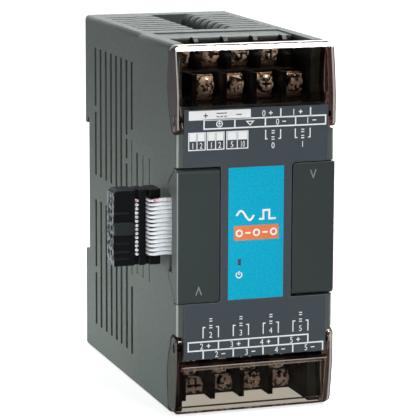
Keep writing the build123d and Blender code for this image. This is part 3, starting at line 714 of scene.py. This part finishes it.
def glyph(bm, text, x, z, height, p0, p1, mat=0, squeeze=0.86):
    """Digits and signs as solid marks, centred on (x, z)."""
    cu = bpy.data.curves.new("glyph", "FONT")
    cu.body = text
    cu.size = height / 0.70 * MM
    cu.align_x = "CENTER"
    cu.resolution_u = 3
    cu.extrude = abs(p1 - p0) / 2 * MM
    ob = bpy.data.objects.new("glyph", cu)
    bpy.context.scene.collection.objects.link(ob)
    dg = bpy.context.evaluated_depsgraph_get()
    me = bpy.data.meshes.new_from_object(ob.evaluated_get(dg))
    part = bmesh.new()
    part.from_mesh(me)
    bmesh.ops.remove_doubles(part, verts=part.verts, dist=1e-7)
    mid = (Y(p0) + Y(p1)) / 2
    for v in part.verts:
        v.co = Vector((x * MM + v.co.x * squeeze, mid - v.co.z,
                       (z - height / 2) * MM + v.co.y))
    for f in part.faces:
        f.material_index = mat
    tmp = bpy.data.meshes.new("glyph_part")
    part.to_mesh(tmp)
    part.free()
    bm.from_mesh(tmp)
    bpy.data.meshes.remove(tmp)
    bpy.data.objects.remove(ob)
    bpy.data.meshes.remove(me)
    bpy.data.curves.remove(cu)


def plus(bm, x, z, r, w, p0, p1, mat=0):
    h = w / 2
    prism(bm, [(x - r, z - h), (x - h, z - h), (x - h, z - r), (x + h, z - r),
               (x + h, z - h), (x + r, z - h), (x + r, z + h), (x + h, z + h),
               (x + h, z + r), (x - h, z + r), (x - h, z + h), (x - r, z + h)], p0, p1, mat)


def bar(bm, x0, x1, z0, z1, p0, p1, mat=0, r=0.06):
    prism(bm, rounded(x0, x1, z0, z1, min(r, (z1 - z0) / 2.1, (x1 - x0) / 2.1), 2),
          p0, p1, mat)


def circle(x, z, r, a0=0.0, a1=360.0, n=20):
    return [(x + r * math.cos(math.radians(a0 + (a1 - a0) * i / n)),
             z + r * math.sin(math.radians(a0 + (a1 - a0) * i / n)))
            for i in range(n + (0 if a1 - a0 >= 360 else 1))]


# ------------------------------------------------------------------ printed marks
INK = (-0.035, 0.02)
OVER = (-0.055, 0.0)
LINE = 0.34


def sign(bm, x, z, positive, size=0.48, mat=0, depth=INK):
    if positive:
        plus(bm, x, z, size, 0.26, *depth, mat)
    else:
        bar(bm, x - size, x + size, z - 0.13, z + 0.13, *depth, mat)


def make_panel_marks():
    bm = bmesh.new()
    # filled supply field, with dark signs over it
    bar(bm, -17.1, -1.6, 72.45, 74.7, *INK, r=0.1)
    plus(bm, -12.9, 73.5, 0.55, 0.24, *OVER, 1)
    bar(bm, -5.2, -3.9, 73.4, 73.62, *OVER, 1)
    bar(bm, -10.2, -7.6, 73.85, 74.07, *OVER, 1)
    for i in range(3):
        bar(bm, -10.2 + 0.95 * i, -9.5 + 0.95 * i, 73.1, 73.32, *OVER, 1)
    # upper row: channel signs and ticks
    for x, n in ((1.7, "0"), (9.3, "1")):
        glyph(bm, n, x, 73.55, 1.5, *INK)
        sign(bm, x + 1.75, 73.55, True)
    for x in (6.0, 13.6):
        stroke(bm, [(x, 72.4), (x, 74.55)], LINE, *INK)
    # lower row of boxes
    xs = [-13.3 + 7.7 * i for i in range(5)]
    stroke(bm, [(xs[0], 70.3), (xs[-1], 70.3), (xs[-1], 72.45), (xs[0], 72.45)], LINE, *INK,
           closed=True)
    for x in xs[1:-1]:
        stroke(bm, [(x, 70.3), (x, 72.45)], LINE, *INK)
    stroke(bm, circle(-9.45, 71.4, 0.72), 0.22, *INK, closed=True)
    bar(bm, -9.9, -9.0, 71.36, 71.56, *INK)
    bar(bm, -9.7, -9.2, 71.0, 71.18, *INK)
    stroke(bm, [(-9.45, 71.5), (-9.45, 72.0)], 0.2, *INK)
    # reference symbol
    stroke(bm, [(-2.6, 71.75), (-1.75, 70.85), (-0.9, 71.75)], 0.24, *INK, closed=True)
    for x, n in ((5.2, "0"), (12.9, "1")):
        glyph(bm, n, x, 71.38, 1.45, *INK)
        sign(bm, x + 1.7, 71.38, False)
    # range selectors: three pairs of fields
    for (x0, x1), (a, b) in zip(((-17.1, -13.0), (-12.5, -8.3), (-7.6, -2.3)),
                                (("1", "2"), ("1", "2"), ("5", "10"))):
        xm = (x0 + x1) / 2
        stroke(bm, [(x0, 65.35), (x1, 65.35), (x1, 69.45), (x0, 69.45)], 0.24, *INK,
               closed=True)
        stroke(bm, [(xm, 65.35), (xm, 69.45)], 0.22, *INK)
        for u0, u1 in ((x0, xm), (xm, x1)):
            bar(bm, u0 + 0.2, u1 - 0.2, 67.45, 69.3, *INK)
        glyph(bm, a, (x0 + xm) / 2, 66.4, 1.4, *INK)
        glyph(bm, b, (xm + x1) / 2, 66.4, 1.4, *INK, squeeze=0.8 if b == "2" else 0.62)
    # channel brackets under the upper rows
    for x, n in ((4.1, "0"), (11.65, "1")):
        for s in (-1, 1):
            stroke(bm, [(x + s * 1.9, 69.5), (x + s * 1.9, 67.3), (x + s * 1.35, 67.3)],
                   0.26, *INK)
        for z in (69.0, 67.5):
            bar(bm, x - 0.4, x + 0.4, z - 0.45, z - 0.22, *INK)
            bar(bm, x - 0.4, x + 0.4, z + 0.12, z + 0.35, *INK)
        glyph(bm, n, x, 65.7, 1.45, *INK)
    # lower rows
    xs = [-17.1 + 7.68 * i for i in range(5)]
    stroke(bm, [(xs[0], 16.5), (xs[-1], 16.5), (xs[-1], 18.65), (xs[0], 18.65)], LINE, *INK,
           closed=True)
    for x in xs[1:-1]:
        stroke(bm, [(x, 16.5), (x, 18.65)], LINE, *INK)
    stroke(bm, [(13.6, 16.55), (17.5, 16.55), (17.5, 14.45)], LINE, *INK)
    for x in (-13.3, -5.65, 2.0, 9.7):
        stroke(bm, [(x, 16.5), (x, 14.45)], LINE, *INK)
    for i, n in enumerate("2345"):
        x = -13.7 + 7.68 * i
        glyph(bm, n, x, 17.57, 1.5, *INK)
        sign(bm, x + 1.75, 17.57, True)
        x = -9.9 + 7.68 * i
        glyph(bm, n, x, 15.4, 1.5, *INK)
        sign(bm, x + 1.75, 15.4, False)
        # channel brackets above the lower rows
        x = -11.4 + 7.68 * i
        for s in (-1, 1):
            stroke(bm, [(x + s * 1.95, 19.55), (x + s * 1.95, 22.2), (x + s * 1.35, 22.2)],
                   0.26, *INK)
        glyph(bm, n, x, 20.3, 1.45, *INK)
        for z in (22.35, 24.0):
            bar(bm, x - 0.4, x + 0.4, z - 0.45, z - 0.22, *INK)
            bar(bm, x - 0.4, x + 0.4, z + 0.12, z + 0.35, *INK)
    ob = mesh_object("panel_marks", bm, [M["white_ink"], M["dark_ink"]])


def make_label_marks():
    bm = bmesh.new()
    prism(bm, rounded(-5.6, 5.7, 42.95, 46.5, 0.12, 3), -0.03, 0.02, 1)
    # plain wave and step symbols over the block
    wave = [(-5.0 + 4.4 * i / 24, 49.0 + 1.15 * math.sin(2 * math.pi * i / 24))
            for i in range(25)]
    stroke(bm, wave, 0.5, *INK)
    stroke(bm, [(0.7, 47.95), (1.8, 47.95), (1.8, 50.05), (3.3, 50.05), (3.3, 47.95),
                (5.0, 47.95)], 0.5, *INK)
    # plain field marks on the block
    for i in range(5):
        x = -4.3 + 2.18 * i
        if i % 2 == 0:
            stroke(bm, circle(x, 44.72, 0.72), 0.42, *OVER, closed=True)
        else:
            bar(bm, x - 0.7, x + 0.7, 44.5, 44.94, *OVER, r=0.15)
    # lamp caption
    stroke(bm, circle(-4.3, 34.55, 0.72, 125, 415, 18), 0.26, *INK)
    stroke(bm, [(-4.3, 34.55), (-4.3, 35.45)], 0.26, *INK)
    ob = mesh_object("label_marks", bm, [M["white_ink"], M["orange_ink"]])


def make_flap_marks():
    """Pale worn outline of the opening arrow moulded in each flap."""
    for name, body, pts in (
            ("left_flap_mark", "left_flap_body", [(-15.2, 30.2), (-14.5, 32.1), (-13.8, 30.2)]),
            ("right_flap_mark", "right_flap_body", [(13.8, 59.3), (14.5, 57.4), (15.2, 59.3)])):
        bm = bmesh.new()
        stroke(bm, pts, 0.25, -0.02, 0.12)
        ob = mesh_object(name, bm, M["worn_mark"], body)


make_panel_marks()
make_label_marks()
make_flap_marks()

# ------------------------------------------------------------------ ribbon lead
RIB_LOW, RIB_HIGH, WIRES = 39.1, 53.1, 14
RIB_T = 0.9


def rounded_path(pts, r, steps=7):
    """(x, p) corners to a line with tangent arcs of radius r."""
    out = [Vector(pts[0])]
    for a, b, c in zip(pts, pts[1:], pts[2:]):
        a, b, c = Vector(a), Vector(b), Vector(c)
        d0, d1 = (b - a).normalized(), (c - b).normalized()
        turn = math.acos(max(-1, min(1, d0.dot(d1))))
        t = r * math.tan(turn / 2)
        p0, p1 = b - d0 * t, b + d1 * t
        side = Vector((-d0.y, d0.x))
        if side.dot(d1) < 0:
            side = -side
        centre = p0 + side * r
        for i in range(steps + 1):
            a1 = turn * i / steps
            v = -side * math.cos(a1) + d0 * math.sin(a1)
            out.append(centre + v * r)
    out.append(Vector(pts[-1]))
    return out


def even(points, step):
    out = [points[0]]
    for a, b in zip(points, points[1:]):
        n = max(1, int(math.ceil((b - a).length / step)))
        for i in range(1, n + 1):
            out.append(a + (b - a) * i / n)
    return out


def tube(bm, path, r_t, r_z, z, sides, mat, cap_mat=None, lift=None):
    """Closed tube along (x, p) points at height z; r_z and lift may vary with the point."""
    rings = []
    n = len(path)
    for i, q in enumerate(path):
        a, b = path[max(0, i - 1)], path[min(n - 1, i + 1)]
        t = (b - a).normalized()
        nrm = Vector((-t.y, t.x))
        ring = []
        for k in range(sides):
            ang = 2 * math.pi * k / sides
            w = q + nrm * ((r_t(q) if callable(r_t) else r_t) * math.cos(ang))
            h = (r_z(q) if callable(r_z) else r_z) * math.sin(ang) + (lift(q) if lift else 0)
            ring.append(bm.verts.new((w.x * MM, Y(w.y), (z + h) * MM)))
        rings.append(ring)
    for r0, r1 in zip(rings, rings[1:]):
        for k in range(sides):
            j = (k + 1) % sides
            f = bm.faces.new((r0[k], r0[j], r1[j], r1[k]))
            f.material_index = mat
            f.smooth = True
    for ring in (rings[0], rings[-1]):
        f = bm.faces.new(ring)
        f.material_index = cap_mat if cap_mat is not None else mat


def make_ribbon():
    route = rounded_path([(-4.0, 5.05), (-24.95, 4.95), (-24.95, 14.7), (-27.65, 14.7),
                          (-27.65, 7.4)], 1.34)
    path = even(route, 0.7)
    bm = bmesh.new()
    pitch = (RIB_HIGH - RIB_LOW) / WIRES
    zs = [RIB_LOW + pitch * (i + 0.5) for i in range(WIRES)]
    for i, z in enumerate(zs):
        # the wires stay joined along the lead and part where it turns into the plug
        def girth(q):
            if q.y > 6.6:
                return 0.33
            return 0.26 + 0.20 * max(0.0, min(1.0, (q.x + 25.3) / 1.9))

        def flat(q):
            return 0.37 if q.y > 6.6 else RIB_T / 2

        def lift(q):
            return 0.45 * max(0.0, min(1.0, (q.x + 26.5) / 4.0)) if q.y < 9.0 else 0.0

        tube(bm, path, flat, girth, z, 12, 1 if i == WIRES - 1 else 0, None, lift)
        end = [Vector((-27.65, 7.75)), Vector((-27.65, 7.36))]
        tube(bm, end, 0.15, 0.15, z, 8, 2)
    # thin web between the wires, back from their crests, near-black: painted shade in the gaps
    # between the wires
    for z0, z1 in zip(zs, zs[1:]):
        verts = []
        for x in (-4.2, -23.0):
            for dp in (0.08, 0.20):
                for z in (z0 + 0.40, z1 - 0.40):
                    verts.append(bm.verts.new((x * MM, Y(5.0 + dp), (z + 0.45) * MM)))
        for quad in ((0, 1, 3, 2), (4, 6, 7, 5), (0, 4, 5, 1), (2, 3, 7, 6), (0, 2, 6, 4),
                     (1, 5, 7, 3)):
            bm.faces.new([verts[k] for k in quad]).material_index = 3
    # the web strips need points along them to turn with the lead
    # points along the long edges of the web strips
    long_edges = [e for e in bm.edges if e.calc_length() > 5 * MM]
    bmesh.ops.subdivide_edges(bm, edges=long_edges, cuts=24, use_grid_fill=True)
    ob = mesh_object("ribbon_wires", bm, [M["ribbon"], M["ribbon_one"], M["copper"], M["web"]], None)
    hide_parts("ribbon_outer", "ribbon_inner")
    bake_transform(ob)


make_ribbon()


# ------------------------------------------------------------------ plug details
def box(bm, x0, x1, p0, p1, z0, z1, mat=0, ch=0.0):
    """Closed block with its front long edges chamfered by ch."""
    if ch:
        ring = [(p1, z0), (p1, z1), (p0 + ch, z1), (p0, z1 - ch), (p0, z0 + ch), (p0 + ch, z0)]
    else:
        ring = [(p1, z0), (p1, z1), (p0, z1), (p0, z0)]
    a = [bm.verts.new((x0 * MM, Y(p), z * MM)) for p, z in ring]
    b = [bm.verts.new((x1 * MM, Y(p), z * MM)) for p, z in ring]
    fs = [bm.faces.new(a), bm.faces.new(list(reversed(b)))]
    n = len(ring)
    for i in range(n):
        j = (i + 1) % n
        fs.append(bm.faces.new((a[j], a[i], b[i], b[j])))
    for f in fs:
        f.material_index = mat


def make_plug_details():
    bm = bmesh.new()
    for z in (49.7, 42.4, 40.3, 38.6):
        box(bm, -33.15, -29.7, 7.36, 7.6, z - 0.22, z + 0.22, 0, 0.12)
    ob = mesh_object("plug_ridges", bm, M["plug"], "ribbon_plug")


make_plug_details()


# ------------------------------------------------------------------ rail clip spring
def make_spring():
    bm = bmesh.new()
    turns, z0, z1, r, wire = 6.2, 9.98, 17.72, 1.05, 0.18
    n = int(turns * 28)
    rings = []
    for i in range(n + 1):
        t = i / n
        lead = 0.75 / turns
        if t < lead:
            zt = 0.35 * (t / lead) * lead
        elif t > 1 - lead:
            zt = 1 - 0.35 * ((1 - t) / lead) * lead
        else:
            zt = 0.35 * lead + (t - lead) / (1 - 2 * lead) * (1 - 0.7 * lead)
        a = 2 * math.pi * turns * t
        centre = Vector((r * math.cos(a), r * math.sin(a), z0 + (z1 - z0) * zt))
        out = Vector((math.cos(a), math.sin(a), 0))
        ring = []
        for k in range(8):
            b = 2 * math.pi * k / 8
            v = centre + out * (wire * math.cos(b)) + Vector((0, 0, wire * math.sin(b)))
            ring.append(bm.verts.new((v.x * MM, Y(78.25) + v.y * MM, v.z * MM)))
        rings.append(ring)
    for r0, r1 in zip(rings, rings[1:]):
        for k in range(8):
            j = (k + 1) % 8
            bm.faces.new((r0[k], r0[j], r1[j], r1[k])).smooth = True
    bm.faces.new(rings[0])
    bm.faces.new(rings[-1])
    ob = mesh_object("clip_spring", bm, M["steel"], None)
    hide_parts("din_spring")
    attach(ob, "root")
    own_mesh(ob)


make_spring()


# ------------------------------------------------------------------ floor
def make_floor():
    bm = bmesh.new()
    bmesh.ops.create_grid(bm, x_segments=8, y_segments=8, size=3.0)
    me = bpy.data.meshes.new("floor")
    bm.to_mesh(me)
    bm.free()
    ob = bpy.data.objects.new("floor", me)
    bpy.context.scene.collection.objects.link(ob)
    m = Mat("pale_floor", (0.70, 0.70, 0.70), 0.85, spec=0.1)
    m.color(m.mix(m.noise(0.01, 2), (0.70, 0.705, 0.71), (0.73, 0.735, 0.74)))
    seen = m.node("ShaderNodeLightPath").outputs["Is Camera Ray"]
    m.bsdf.inputs["Emission Color"].default_value = (1, 1, 1, 1)
    m.link(m.ranged(seen, 0.0, 1.0, 0.0, 0.70), m.bsdf.inputs["Emission Strength"])
    me.materials.append(m.mat)


make_floor()
